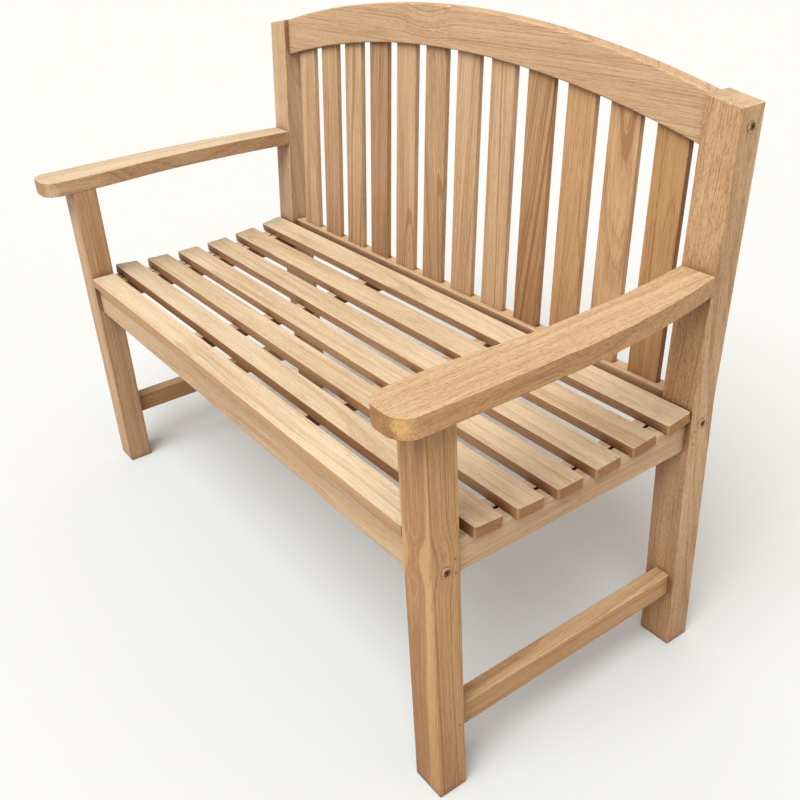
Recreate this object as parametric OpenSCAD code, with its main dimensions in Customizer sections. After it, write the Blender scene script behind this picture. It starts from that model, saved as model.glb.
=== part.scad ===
// Two-seat garden bench in solid teak.
//
// Two straight front legs and two rear posts that lean back above a knee carry
// a pair of level, waisted armrests. Seven slats lie on side rails and battens
// that dish the seat, and twelve upright slats stand between a straight lower
// rail and an arched top rail. Rails meet legs and posts in stub tenons: bolts
// with cross nuts pull up the three long rails, pins hold the side joints.
//
// Origin: on the floor, in the middle of the width and of the depth.
// X runs along the seat (left is -X, seen from the front), Y from front to
// back and Z up. Lengths are in millimetres, angles in degrees.

/* [Overall] */
// Width over the armrests
overall_w = 1200; // [1160:10:1240]
// Depth from the armrests' front ends to the backs of the posts' top ends
overall_d = 583; // [575:1:595]
// Height of the top rail's crown
overall_h = 910; // [890:5:930]
// Height of the seat's front slat
seat_h = 428; // [424:1:432]
// Height of the armrests
arm_h = 627.5; // [610:0.5:640]

/* [Legs and posts] */
// Width of a leg or post, along the seat
leg_w = 55; // [52:1:58]
// Depth of a leg or post, front to back
leg_d = 45; // [44:1:48]
// Distance of the legs' outer faces inside the armrests' widest points
leg_inset = 30; // [25:1:35]
// Height of the knee at which the posts start to lean back
knee_h = 434; // [432:1:440]
// Lean of the back, from the vertical
back_rake = 4; // [3:0.5:5]
// Fall of a post's top end towards the outside
post_top_fall = 10; // [0:1:14]
// Radius of the legs' long edges
leg_round = 2; // [1:0.5:5]

/* [Rails] */
// Thickness of the rails, the stretchers and the middle battens
rail_t = 27; // [26:1:28]
// Setback of the front rail behind the legs' front faces
front_setback = 9; // [8:1:10]
// Setback of the back rails and of the side rails behind the faces beside them
rail_setback = 10; // [9:1:11]
// Height of the front rail
front_rail_h = 59; // [56:1:62]
// Height of the lower back rail
lower_rail_h = 60; // [56:1:64]
// Top of the lower back rail above the knee
lower_rail_rise = 2.5; // [0:0.5:6]
// Height of the top rail
top_rail_h = 65; // [60:1:70]
// Rise of the top rail's arch, from the posts to the crown
arch_rise = 62.5; // [40:0.5:80]
// Height of the undersides of the side rails
side_rail_under = 361; // [356:1:364]
// Height of the undersides of the side stretchers
stretcher_under = 98; // [80:1:140]
// Height of a side stretcher
stretcher_h = 38; // [34:1:42]
// Radius of the rails' long edges
rail_round = 2; // [1:0.5:3]

/* [Seat] */
// Width of a seat slat
seat_slat_w = 46; // [44:1:48]
// Thickness of a seat slat
seat_slat_t = 16; // [14:1:18]
// Radius of a seat slat's long edges
seat_slat_round = 2; // [1:0.5:4]
// Depth of the dish below the front slat
dish_drop = 12.4; // [8:0.2:14]
// Distance of the dish's lowest line behind the legs' front faces
dish_back = 233; // [225:1:240]
// Radius of the dish
dish_r = 1520; // [1400:10:1800]
// Height of the undersides of the seat battens
batten_under = 382; // [378:1:384]
// Thickness of an end batten
end_batten_t = 21; // [20:1:22]
// Gap between an end batten and the side rail beside it
end_batten_gap = 4; // [3:1:8]
// Distance of the middle battens' centre lines from the centre of the seat
batten_x = 175.5; // [160:0.5:200]

/* [Back] */
// Number of back slats
back_slat_n = 12; // [10:1:12]
// Width of a back slat
back_slat_w = 55; // [50:1:58]
// Thickness of a back slat
back_slat_t = 10; // [9:1:12]
// Centre-to-centre distance of the back slats
back_slat_pitch = 83.7; // [80:0.1:85]
// Radius of a back slat's long edges
back_slat_round = 1.5; // [1:0.5:4]

/* [Armrests] */
// Thickness of an armrest
arm_t = 27; // [24:1:28]
// Overhang of the armrests in front of the front legs
arm_overhang = 49.5; // [40:0.5:60]
// Radius of an armrest's front corners
arm_corner_r = 29; // [20:1:32]
// Narrowing of an armrest's outer edge at its front end
arm_front_taper = 3; // [0:0.5:6]
// Narrowing of the right-hand armrest's inner edge at its front end
arm_trim_right = 9; // [0:0.5:12]
// Depth of the waist in an armrest's inner edge
arm_waist = 17; // [5:0.5:20]

/* [Fastenings] */
// Diameter of the frame bolts
bolt_d = 6; // [5:1:8]
// Diameter of the frame bolts' heads
bolt_head_d = 15; // [13:1:17]
// Diameter of the cross nuts in the rails' ends
nut_d = 10; // [9:1:12]
// Diameter of the pins through the side joints
pin_d = 3.5; // [3:0.5:5]
// Diameter of the dowels
dowel_d = 8; // [6:1:8]
// Diameter of the wood screws
screw_d = 4; // [3:0.5:4.5]

/* [Hidden] */
LEFT = -1;
RIGHT = 1;
SEAT_SLAT_N = 7;
$fn = 48;

TEAK = [0.84, 0.67, 0.47];
TEAK_PALE = [0.90, 0.74, 0.55];
TEAK_BROWN = [0.74, 0.56, 0.38];
BRASS = [0.72, 0.56, 0.30];
STEEL = [0.62, 0.62, 0.62];

over = 1;            // how far a cutter runs out of the face that it opens
lap = 5;             // how far a tenon's root is buried in its own board
arch_facets = 720;   // facets of the arch's full circle
arm_steps = 16;      // straight steps along each edge of an armrest

// Stub tenons
stub_l = 15;         // into the legs and posts, along X
side_stub_l = 14;    // into the legs and posts, along Y
stub_t = 12;
stub_shoulder = 10;  // shoulder above and below a tenon of a long rail
side_stub_z = 367;
side_stub_h = 36;
stretcher_shoulder = 7;
batten_stub = 8;
batten_stub_h = 12;
arm_tenon = [30, 20, 16];
slat_let_in = 12;    // depth of the back slats' ends inside the rails

// Fastenings
bolt_head_t = 2.2;
bolt_rim_t = 0.8;    // upright part of the head's rim, below its bevel
bolt_bevel = 1.2;
socket_d = 4.6;      // across the corners of the bolt's hexagon socket
nut_l = 20;
nut_cover = 4;       // wood left in front of a cross nut
nut_back = 35;       // cross nut behind the rail's shoulder
bolt_past_nut = 7;
pin_l = 32;
pin_back = 8;        // pin behind the shoulder of the joint it crosses
pin_spread = 21;     // distance between the two pins of a side rail's joint
arm_dowel_l = 50;
arm_dowel_spread = 24;
seat_dowel_l = 24;
seat_dowel_up = 8;   // part of a seat dowel inside the slat
seat_dowel_places = [-0.85, -0.28, 0.28, 0.85];
slat_screw_l = 25;
slat_screw_bite = 10; // part of a slat screw inside the slat
batten_screw_l = 40;
batten_screw_up = 9; // above the underside of the batten
screw_head_d = 8;
screw_head_h = 2.4;
screw_tip_h = 3;
counterbore_d = 9;
slat_end_gap = 1;    // play at the seat slats' ends

// Faces of the legs, on the right-hand side
leg_x1 = overall_w / 2 - leg_inset;
leg_x0 = leg_x1 - leg_w;
leg_y0 = -overall_d / 2 + arm_overhang;
leg_y1 = leg_y0 + leg_d;
arm_under = arm_h - arm_t;

// The back frame: its local Y is square to the leaning plane of the posts'
// front faces, its local Z (called v) climbs that plane from the knee.
crown_v = (overall_h - knee_h + rail_setback * sin(back_rake)) / cos(back_rake);
post_v = crown_v - arch_rise;
post_t = leg_d * cos(back_rake);
post_y0 = overall_d / 2 - leg_d - post_v * sin(back_rake);
post_top_z = knee_h + post_v * cos(back_rake);
back_rail_y = rail_setback + rail_t / 2;
lower_rail_v = lower_rail_rise - lower_rail_h;
arch_r = (pow(leg_x0, 2) + pow(arch_rise, 2)) / (2 * arch_rise);
arch_centre_v = crown_v - arch_r;
top_end_v = (post_v + arch_under_v(leg_x0)) / 2;

// Front rail, side rails and seat
front_rail_y = leg_y0 + front_setback + rail_t / 2;
front_rail_z = seat_h - seat_slat_t - front_rail_h;
side_rail_x1 = leg_x1 - rail_setback;
side_rail_x0 = side_rail_x1 - rail_t;
side_rail_x = (side_rail_x0 + side_rail_x1) / 2;
end_batten_x0 = side_rail_x0 - end_batten_gap - end_batten_t;
end_batten_x = end_batten_x0 + end_batten_t / 2;
batten_xs = [-end_batten_x, -batten_x, batten_x, end_batten_x];
slat_clear = 3;      // play between the last slat and the posts
slat_first_y = leg_y0 + seat_slat_w / 2;
slat_last_y = post_y0 - slat_clear - seat_slat_w / 2;
slat_pitch = (slat_last_y - slat_first_y) / (SEAT_SLAT_N - 1);
dish_y = leg_y0 + dish_back;

function two_digits(i) = i < 10 ? str("0", i) : str(i);
function back_slat_name(i) = str("back_slat_", two_digits(i));
function seat_slat_name(i) = str("seat_slat_", two_digits(i));

// Height v of the top rail's curved underside at distance x from the centre
function arch_under_v(x) = arch_centre_v + sqrt(pow(arch_r - top_rail_h, 2) - pow(x, 2));

// Place and tilt of seat slat i: the first lies level on the front rail, the
// others are tangent to the dish.
function slat_y(i) = slat_first_y + (i - 1) * slat_pitch;
function dish_z(y) = seat_h - dish_drop + dish_r - sqrt(pow(dish_r, 2) - pow(y - dish_y, 2));
function slat_z(i) = i == 1 ? seat_h : dish_z(slat_y(i));
function slat_tilt(i) = i == 1 ? 0 : asin((slat_y(i) - dish_y) / dish_r);
function slat_under(i) = slat_z(i) - seat_slat_t;

// Lower edge of slat i in the YZ plane: edge is -1 for its front, 1 for its back
function slat_corner(i, edge) =
    let (a = slat_tilt(i), half = edge * seat_slat_w / 2)
    [
        slat_y(i) + half * cos(a) + seat_slat_t * sin(a),
        slat_z(i) + half * sin(a) - seat_slat_t * cos(a)
    ];

// Outline in the YZ plane of a board that carries slats 2 to 7 on its top
function support_outline(y0, y1, under) =
    let (top = [for (i = [2 : SEAT_SLAT_N], edge = [-1, 1]) slat_corner(i, edge)])
    concat(
        [[y0, under], [y0, top[0][1]]],
        top,
        [[y1, top[len(top) - 1][1]], [y1, under]]);

// Outer and inner edge of an armrest, as distances from the centre plane
arm_y0 = leg_y0 - arm_overhang;
arm_wide_y = leg_y0 + 195;   // where the armrest is widest
arm_waist_y = leg_y0 + 240;  // where its inner edge is deepest
arm_straight_y = leg_y0 + 10;  // where the inner edge leaves the leg's face
arm_post_y = post_y0 + (arm_h - knee_h) * tan(back_rake);

function arm_outer(y) = y < arm_wide_y
    ? overall_w / 2 - arm_front_taper * pow((arm_wide_y - y) / (arm_wide_y - arm_y0), 2)
    : overall_w / 2 - leg_inset * pow((y - arm_wide_y) / (arm_post_y - arm_wide_y), 2);

function arm_trim(side, y) =
    side == RIGHT ? arm_trim_right * max(0, (arm_waist_y - y) / (arm_waist_y - arm_y0)) : 0;

function arm_inner(side, y) = arm_trim(side, y) + arm_waisted(y);

function arm_waisted(y) = y < arm_straight_y ? leg_x0
    : y < arm_waist_y
    ? leg_x0 + arm_waist * (1 - cos(180 * (y - arm_straight_y) / (arm_waist_y - arm_straight_y))) / 2
    : leg_x0 + arm_waist * (1 - pow((y - arm_waist_y) / (arm_post_y - arm_waist_y), 2));

// ---- Placing and shaping ----

// Mirrors a right-hand piece to the side that is asked for
module on_side(side) {
    mirror([side < 0 ? 1 : 0, 0, 0]) children();
}

module on_both_sides() {
    on_side(LEFT) children();
    on_side(RIGHT) children();
}

// Puts its children in the leaning frame of the back
module on_back() {
    translate([0, post_y0, knee_h]) rotate([-back_rake, 0, 0]) children();
}

// Puts its children on the top face of seat slat i
module on_seat_slat(i) {
    translate([0, slat_y(i), slat_z(i)]) rotate([slat_tilt(i), 0, 0]) children();
}

module round_rect(size, r) {
    translate([r, 0]) square([size[0] - 2 * r, size[1]]);
    translate([0, r]) square([size[0], size[1] - 2 * r]);
    for (x = [r, size[0] - r], y = [r, size[1] - r])
        translate([x, y]) circle(r);
}

// Board along X: its children are its outline in the YZ plane
module board_x(x0, x1) {
    translate([x0, 0, 0]) rotate([90, 0, 90]) linear_extrude(x1 - x0) children();
}

// Board along Y: its children are its outline in the XZ plane
module board_y(y0, y1) {
    translate([0, y1, 0]) rotate([90, 0, 0]) linear_extrude(y1 - y0) children();
}

// Rod along X from x0 to x1
module rod_x(x0, x1, d) {
    translate([x0, 0, 0]) rotate([0, 90, 0]) cylinder(h = x1 - x0, d = d);
}

// ---- Tenons: the same solid is added to one board and cut from the other ----

module front_rail_tenon() {
    translate([leg_x0 - lap, front_rail_y - stub_t / 2, front_rail_z + stub_shoulder])
        cube([lap + stub_l, stub_t, front_rail_h - 2 * stub_shoulder]);
}

module back_rail_tenon(v, h) {
    on_back()
        translate([leg_x0 - lap, back_rail_y - stub_t / 2, v - h / 2])
            cube([lap + stub_l, stub_t, h]);
}

module lower_rail_tenon() {
    back_rail_tenon(lower_rail_v + lower_rail_h / 2, lower_rail_h - 2 * stub_shoulder);
}

module top_rail_tenon() {
    back_rail_tenon(top_end_v, top_rail_h - 2 * stub_shoulder);
}

// Tenons at both ends of a board that joins a leg to a post
module side_tenons(z, h) {
    for (shoulder_y = [leg_y1 - side_stub_l, post_y0 - lap])
        translate([side_rail_x - stub_t / 2, shoulder_y, z])
            cube([stub_t, lap + side_stub_l, h]);
}

module side_rail_tenons() {
    side_tenons(side_stub_z, side_stub_h);
}

module stretcher_tenons() {
    side_tenons(stretcher_under + stretcher_shoulder, stretcher_h - 2 * stretcher_shoulder);
}

module arm_tenon_block() {
    translate([
        (leg_x0 + leg_x1 - arm_tenon[0]) / 2,
        (leg_y0 + leg_y1 - arm_tenon[1]) / 2,
        arm_under - lap
    ])
        cube(arm_tenon + [0, 0, lap]);
}

// Tenons of a middle batten, into the front rail and the lower back rail
module batten_tenons() {
    front_y = front_rail_y + rail_t / 2;
    back_y = post_y0 + rail_setback - (knee_h - batten_under) * tan(back_rake);
    for (y = [front_y - batten_stub, back_y - lap])
        translate([batten_x - stub_t / 2, y, batten_under + 4])
            cube([stub_t, lap + batten_stub, batten_stub_h]);
}

// ---- Fastenings ----

// Bolt along X through a leg or post into a rail's end; its axis is the local X
module bolt() {
    difference() {
        union() {
            rod_x(leg_x0 - nut_back - bolt_past_nut, leg_x1 + bolt_rim_t, bolt_d);
            rod_x(leg_x1, leg_x1 + bolt_rim_t, bolt_head_d);
            translate([leg_x1 + bolt_rim_t, 0, 0]) rotate([0, 90, 0])
                cylinder(h = bolt_head_t - bolt_rim_t, d1 = bolt_head_d, d2 = bolt_head_d - 2 * bolt_bevel);
        }
        translate([leg_x1 - over, 0, 0]) rotate([0, 90, 0])
            cylinder(h = bolt_head_t + 2 * over, d = socket_d, $fn = 6);
    }
}

module bolt_hole() {
    rod_x(leg_x0 - nut_back - bolt_past_nut, leg_x1 + over, bolt_d);
}

// Cross nut: a barrel across the rail, tapped for the bolt
module cross_nut() {
    difference() {
        cross_nut_barrel(nut_l);
        bolt_hole();
    }
}

module cross_nut_barrel(length) {
    translate([leg_x0 - nut_back, nut_cover - rail_t / 2, 0])
        rotate([-90, 0, 0]) cylinder(h = length, d = nut_d);
}

module cross_nut_hole() {
    cross_nut_barrel(rail_t);
}

// Puts a fastening of a right-hand rail end on the axis of its bolt
module at_front_rail_bolt() {
    translate([0, front_rail_y, front_rail_z + front_rail_h / 2]) children();
}

module at_lower_rail_bolt() {
    on_back() translate([0, back_rail_y, lower_rail_v + lower_rail_h / 2]) children();
}

module at_top_rail_bolt() {
    on_back() translate([0, back_rail_y, top_end_v]) children();
}

module at_every_bolt() {
    at_front_rail_bolt() children();
    at_lower_rail_bolt() children();
    at_top_rail_bolt() children();
}

// The pins of one side, across the tenons of the side rail and the stretcher
module side_pins() {
    rail_pin_z = side_stub_z + side_stub_h / 2;
    for (y = [leg_y1 - pin_back, post_y0 + pin_back]) {
        for (dz = [-pin_spread / 2, pin_spread / 2])
            translate([0, y, rail_pin_z + dz]) rod_x(leg_x1 - pin_l, leg_x1, pin_d);
        translate([0, y, stretcher_under + stretcher_h / 2])
            rod_x(leg_x1 - pin_l, leg_x1, pin_d);
    }
}

// Countersunk wood screw that points up, its head's flat face at the origin
module wood_screw(length) {
    cylinder(h = screw_head_h, d1 = screw_head_d, d2 = screw_d);
    translate([0, 0, screw_head_h])
        cylinder(h = length - screw_head_h - screw_tip_h, d = screw_d);
    translate([0, 0, length - screw_tip_h])
        cylinder(h = screw_tip_h, d1 = screw_d, d2 = 0);
}

// Places its children at the heads of the screws that hold slat i
module at_slat_screws(i) {
    for (x = batten_xs)
        translate([x, slat_y(i), slat_under(i) + slat_screw_bite - slat_screw_l]) children();
}

// Places its children at the heads of the screws from one end batten outwards
module at_batten_screws() {
    for (i = [2, 4, 6])
        translate([
            end_batten_x0,
            slat_y(i) + slat_pitch / 2,
            batten_under + batten_screw_up
        ])
            rotate([0, 90, 0]) children();
}

module seat_dowel_set() {
    for (place = seat_dowel_places)
        translate([
            place * leg_x0,
            front_rail_y,
            seat_h - seat_slat_t + seat_dowel_up - seat_dowel_l
        ])
            cylinder(h = seat_dowel_l, d = dowel_d);
}

// The two dowels between one armrest's end and its post
module arm_dowel_pair() {
    z = arm_h - arm_t / 2;
    joint_y = post_y0 + (z - knee_h) * tan(back_rake);
    for (dx = [-arm_dowel_spread / 2, arm_dowel_spread / 2])
        translate([(leg_x0 + leg_x1) / 2 + dx, joint_y - arm_dowel_l / 2, z])
            rotate([-90, 0, 0]) cylinder(h = arm_dowel_l, d = dowel_d);
}

// ---- Legs and posts ----

module front_leg(side) {
    color(TEAK) on_side(side) difference() {
        union() {
            translate([leg_x0, leg_y0, 0])
                linear_extrude(arm_under) round_rect([leg_w, leg_d], leg_round);
            arm_tenon_block();
        }
        front_rail_tenon();
        side_rail_tenons();
        stretcher_tenons();
        at_front_rail_bolt() bolt_hole();
        side_pins();
    }
}

// World position [y, z] of a point of the back frame
function back_point(y, v) = [
    post_y0 + y * cos(back_rake) + v * sin(back_rake),
    knee_h - y * sin(back_rake) + v * cos(back_rake)
];

module rear_post(side) {
    color(TEAK) on_side(side) difference() {
        board_x(leg_x0, leg_x1) polygon([
            [post_y0, 0],
            [post_y0 + leg_d, 0],
            [post_y0 + leg_d, knee_h],
            [overall_d / 2, post_top_z],
            back_point(0, post_v),
            [post_y0, knee_h]
        ]);
        translate([leg_x0, post_y0, post_top_z]) rotate([0, post_top_fall, 0])
            translate([-over, 0, 0]) cube([2 * leg_w, 3 * leg_d, leg_w]);
        lower_rail_tenon();
        top_rail_tenon();
        side_rail_tenons();
        stretcher_tenons();
        at_lower_rail_bolt() bolt_hole();
        at_top_rail_bolt() bolt_hole();
        side_pins();
        arm_dowel_pair();
    }
}

// ---- Rails ----

module front_rail() {
    color(TEAK_PALE) difference() {
        union() {
            board_x(-leg_x0, leg_x0)
                translate([front_rail_y - rail_t / 2, front_rail_z])
                    round_rect([rail_t, front_rail_h], rail_round);
            on_both_sides() front_rail_tenon();
        }
        on_both_sides() {
            at_front_rail_bolt() bolt_hole();
            at_front_rail_bolt() cross_nut_hole();
            batten_tenons();
        }
        seat_dowel_set();
    }
}

module lower_back_rail() {
    color(TEAK_PALE) difference() {
        union() {
            on_back() board_x(-leg_x0, leg_x0)
                translate([rail_setback, lower_rail_v])
                    round_rect([rail_t, lower_rail_h], rail_round);
            on_both_sides() lower_rail_tenon();
        }
        on_both_sides() {
            at_lower_rail_bolt() bolt_hole();
            at_lower_rail_bolt() cross_nut_hole();
            batten_tenons();
        }
        for (i = [1 : back_slat_n]) back_slat_board(i);
    }
}

module top_rail() {
    color(TEAK) difference() {
        union() {
            on_back() board_y(rail_setback, rail_setback + rail_t) intersection() {
                translate([0, arch_centre_v]) difference() {
                    circle(arch_r, $fn = arch_facets);
                    circle(arch_r - top_rail_h, $fn = arch_facets);
                }
                translate([-leg_x0, 0]) square([2 * leg_x0, crown_v + over]);
            }
            on_both_sides() top_rail_tenon();
        }
        on_both_sides() {
            at_top_rail_bolt() bolt_hole();
            at_top_rail_bolt() cross_nut_hole();
        }
        for (i = [1 : back_slat_n]) back_slat_board(i);
    }
}

module side_rail(side) {
    color(TEAK) on_side(side) difference() {
        union() {
            board_x(side_rail_x0, side_rail_x1)
                polygon(support_outline(leg_y1, post_y0, side_rail_under));
            side_rail_tenons();
        }
        side_pins();
        at_batten_screws() wood_screw(batten_screw_l);
    }
}

module side_stretcher(side) {
    color(TEAK) on_side(side) difference() {
        union() {
            board_y(leg_y1, post_y0)
                translate([side_rail_x0, stretcher_under])
                    round_rect([rail_t, stretcher_h], rail_round);
            stretcher_tenons();
        }
        side_pins();
    }
}

// ---- Back slats ----

// Centre of back slat i, counted from the left
function back_slat_x(i) = (i - (back_slat_n + 1) / 2) * back_slat_pitch;

module back_slat_board(i) {
    v0 = lower_rail_rise - slat_let_in;
    v1 = arch_under_v(back_slat_x(i)) + slat_let_in;
    on_back()
        translate([back_slat_x(i) - back_slat_w / 2, back_rail_y - back_slat_t / 2, v0])
            linear_extrude(v1 - v0) round_rect([back_slat_w, back_slat_t], back_slat_round);
}

module back_slat(i) {
    color(i % 3 == 0 ? TEAK_BROWN : TEAK_PALE) back_slat_board(i);
}

// ---- Seat ----

module seat_slat(i) {
    half_l = i == 1 ? leg_x0 - slat_end_gap : leg_x1 - slat_end_gap;
    color(i % 2 == 0 ? TEAK : TEAK_PALE) difference() {
        on_seat_slat(i) board_x(-half_l, half_l)
            translate([-seat_slat_w / 2, -seat_slat_t])
                round_rect([seat_slat_w, seat_slat_t], seat_slat_round);
        if (i == 1) seat_dowel_set();
        else at_slat_screws(i) wood_screw(slat_screw_l);
    }
}

// Screws and counterbores that every batten gets from beneath
module batten_screw_holes() {
    for (i = [2 : SEAT_SLAT_N])
        at_slat_screws(i) {
            wood_screw(slat_screw_l);
            translate([0, 0, -slat_screw_l]) cylinder(h = slat_screw_l, d = counterbore_d);
        }
}

module end_batten(side) {
    color(TEAK) on_side(side) difference() {
        board_x(end_batten_x0, end_batten_x0 + end_batten_t)
            polygon(support_outline(leg_y1, post_y0, batten_under));
        batten_screw_holes();
        at_batten_screws() wood_screw(batten_screw_l);
    }
}

module middle_batten(side) {
    front_y = front_rail_y + rail_t / 2;
    back_y = post_y0 + 2 * rail_setback;
    color(TEAK) on_side(side) difference() {
        union() {
            difference() {
                board_x(batten_x - rail_t / 2, batten_x + rail_t / 2)
                    polygon(support_outline(front_y, back_y, batten_under));
                on_back() translate([0, rail_setback, -knee_h])
                    cube([overall_w, overall_d, overall_h]);
            }
            batten_tenons();
        }
        batten_screw_holes();
    }
}

// ---- Armrests ----

// Points of a quarter circle about [x, y], from angle a to a + 90
function quarter(x, y, r, a) = [for (k = [0 : 6]) [x + r * cos(a + 15 * k), y + r * sin(a + 15 * k)]];

module arm_outline(side) {
    corner_y = arm_y0 + arm_corner_r;
    end_y = arm_post_y + lap;
    step = (end_y - corner_y) / arm_steps;
    polygon(concat(
        quarter(arm_inner(side, corner_y) + arm_corner_r, corner_y, arm_corner_r, 180),
        quarter(arm_outer(corner_y) - arm_corner_r, corner_y, arm_corner_r, 270),
        [for (k = [1 : arm_steps]) [arm_outer(corner_y + k * step), corner_y + k * step]],
        [for (k = [arm_steps : -1 : 1]) [arm_inner(side, corner_y + k * step), corner_y + k * step]]
    ));
}

module armrest(side) {
    color(TEAK_PALE) on_side(side) difference() {
        translate([0, 0, arm_under]) linear_extrude(arm_t) arm_outline(side);
        on_back() cube([overall_w, overall_d, overall_h]);
        arm_tenon_block();
        arm_dowel_pair();
    }
}

// ---- Hardware nodes ----

module frame_bolts() {
    color(BRASS) on_both_sides() at_every_bolt() bolt();
}

module cross_nuts() {
    color(BRASS) on_both_sides() at_every_bolt() cross_nut();
}

module joint_pins() {
    color(TEAK_BROWN) on_both_sides() side_pins();
}

module slat_screws() {
    color(STEEL) for (i = [2 : SEAT_SLAT_N]) at_slat_screws(i) wood_screw(slat_screw_l);
}

module batten_screws() {
    color(STEEL) on_both_sides() at_batten_screws() wood_screw(batten_screw_l);
}

module seat_dowels() {
    color(TEAK_BROWN) seat_dowel_set();
}

module arm_dowels() {
    color(TEAK_BROWN) on_both_sides() arm_dowel_pair();
}

// ---- The bench ----

front_leg(LEFT);  // front_leg_left
front_leg(RIGHT);  // front_leg_right
rear_post(LEFT);  // rear_post_left
rear_post(RIGHT);  // rear_post_right
armrest(LEFT);  // armrest_left
armrest(RIGHT);  // armrest_right
front_rail();
lower_back_rail();
top_rail();
side_rail(LEFT);  // side_rail_left
side_rail(RIGHT);  // side_rail_right
side_stretcher(LEFT);  // side_stretcher_left
side_stretcher(RIGHT);  // side_stretcher_right
for (i = [1 : back_slat_n])
    back_slat(i);
for (i = [1 : SEAT_SLAT_N])
    seat_slat(i);
end_batten(LEFT);  // end_batten_left
end_batten(RIGHT);  // end_batten_right
middle_batten(LEFT);  // middle_batten_left
middle_batten(RIGHT);  // middle_batten_right
frame_bolts();
cross_nuts();
joint_pins();
slat_screws();
batten_screws();
seat_dowels();
arm_dowels();
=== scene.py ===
import math
import random

import bmesh
import bpy
from mathutils import Matrix, Vector


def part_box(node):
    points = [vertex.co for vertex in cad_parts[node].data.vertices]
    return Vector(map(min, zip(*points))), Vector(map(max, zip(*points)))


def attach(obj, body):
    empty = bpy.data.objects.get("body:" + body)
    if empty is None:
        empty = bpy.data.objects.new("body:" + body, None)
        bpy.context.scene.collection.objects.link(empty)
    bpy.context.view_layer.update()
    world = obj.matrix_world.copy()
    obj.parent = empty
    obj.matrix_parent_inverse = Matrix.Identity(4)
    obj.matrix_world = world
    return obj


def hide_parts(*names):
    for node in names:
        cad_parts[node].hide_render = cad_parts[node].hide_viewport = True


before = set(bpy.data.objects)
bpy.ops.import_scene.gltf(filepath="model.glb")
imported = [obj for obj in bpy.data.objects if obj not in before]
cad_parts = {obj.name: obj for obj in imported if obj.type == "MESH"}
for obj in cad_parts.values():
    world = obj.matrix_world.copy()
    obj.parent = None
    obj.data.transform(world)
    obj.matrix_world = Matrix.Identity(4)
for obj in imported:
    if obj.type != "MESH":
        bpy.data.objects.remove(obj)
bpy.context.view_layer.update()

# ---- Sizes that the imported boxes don't give, in metres and degrees ----

BACK_RAKE = math.radians(4)
KNEE_HEIGHT = 0.434
RAIL_SETBACK = 0.010
FRONT_SETBACK = 0.009
RAIL_T = 0.027
TOP_RAIL_H = 0.065
ARCH_RISE = 0.0625
LOWER_RAIL_H = 0.060
LOWER_RAIL_RISE = 0.0025
POST_TOP_FALL = math.radians(10)
BACK_SLAT_COUNT = 12
BACK_SLAT_T = 0.010
BACK_SLAT_LET_IN = 0.012   # depth of its ends inside the rails
SEAT_SLAT_COUNT = 7
SEAT_SLAT_W = 0.046
SEAT_SLAT_T = 0.016
SEAT_SLAT_CORNER = 0.004   # radius of its corners as seen from above
PIN_D = 0.0035
PIN_SPREAD = 0.021     # distance between the two pins of a side rail's joint
ARM_CORNER_R = 0.029
ARM_TAPER = 0.003
ARM_WAIST = 0.017
ARM_TRIM = {"left": 0.0, "right": 0.009}
ARM_WIDE = 0.195       # widest place of an armrest, behind the legs' front faces
ARM_DEEP = 0.240       # deepest place of its inner edge, likewise
ARM_STRAIGHT = 0.010   # where its inner edge leaves the leg's face, likewise

# Radii of the boards' softened edges
LEG_SOFT = 0.002
POST_TOP_SOFT = 0.0012
RAIL_SOFT = 0.002
TOP_RAIL_SOFT = 0.0025
STRETCHER_SOFT = 0.0025
SEAT_SLAT_SOFT = 0.002
SEAT_SLAT_END_SOFT = 0.0015
BACK_SLAT_SOFT = 0.0015
ARM_SOFT = 0.0035
CRISP = 0.0004         # an edge that butts against another board
BEVEL_SEGMENTS = 4
SMOOTH_TURN = math.radians(20)   # an edge that turns less than this stays as it is
NEAR = 1e-5            # coordinates closer than this are the same

SIDES = {"left": -1, "right": 1}

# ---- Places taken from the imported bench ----

LEG_LO, LEG_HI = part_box("front_leg_right")
POST_LO, POST_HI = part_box("rear_post_right")
ARM_LO, ARM_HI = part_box("armrest_right")
SIDE_RAIL_LO, SIDE_RAIL_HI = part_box("side_rail_right")
STRETCHER_LO, STRETCHER_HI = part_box("side_stretcher_right")
FRONT_RAIL_LO, FRONT_RAIL_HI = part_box("front_rail")

LEG_INNER = LEG_LO.x
LEG_OUTER = LEG_HI.x
LEG_FRONT = LEG_LO.y
LEG_BACK = LEG_HI.y
LEG_W = LEG_OUTER - LEG_INNER
LEG_D = LEG_BACK - LEG_FRONT
POST_FRONT = POST_LO.y
ARM_UNDER = ARM_LO.z
ARM_TOP = ARM_HI.z
ARM_END = POST_FRONT + (ARM_TOP - KNEE_HEIGHT) * math.tan(BACK_RAKE)
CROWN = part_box("top_rail")[1].z

BACK_FRAME = (
    Matrix.Translation((0, POST_FRONT, KNEE_HEIGHT)) @ Matrix.Rotation(-BACK_RAKE, 4, "X")
)
CROWN_V = (CROWN - KNEE_HEIGHT + RAIL_SETBACK * math.sin(BACK_RAKE)) / math.cos(BACK_RAKE)
POST_V = CROWN_V - ARCH_RISE
ARCH_R = (LEG_INNER**2 + ARCH_RISE**2) / (2 * ARCH_RISE)
ARCH_CENTRE = CROWN_V - ARCH_R


def arch_v(x, radius):
    """Height in the back frame of an arc of the top rail at distance x from the middle."""
    return ARCH_CENTRE + math.sqrt(radius**2 - x**2)


def add_object(name, data):
    """Puts a new mesh, light or camera in the scene."""
    added = bpy.data.objects.new(name, data)
    bpy.context.scene.collection.objects.link(added)
    return added


def low_x(side, inner, outer):
    """Lowest X of a piece that lies between two distances from the middle."""
    return inner if side == "right" else -outer


# ---- Boards ----


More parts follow.
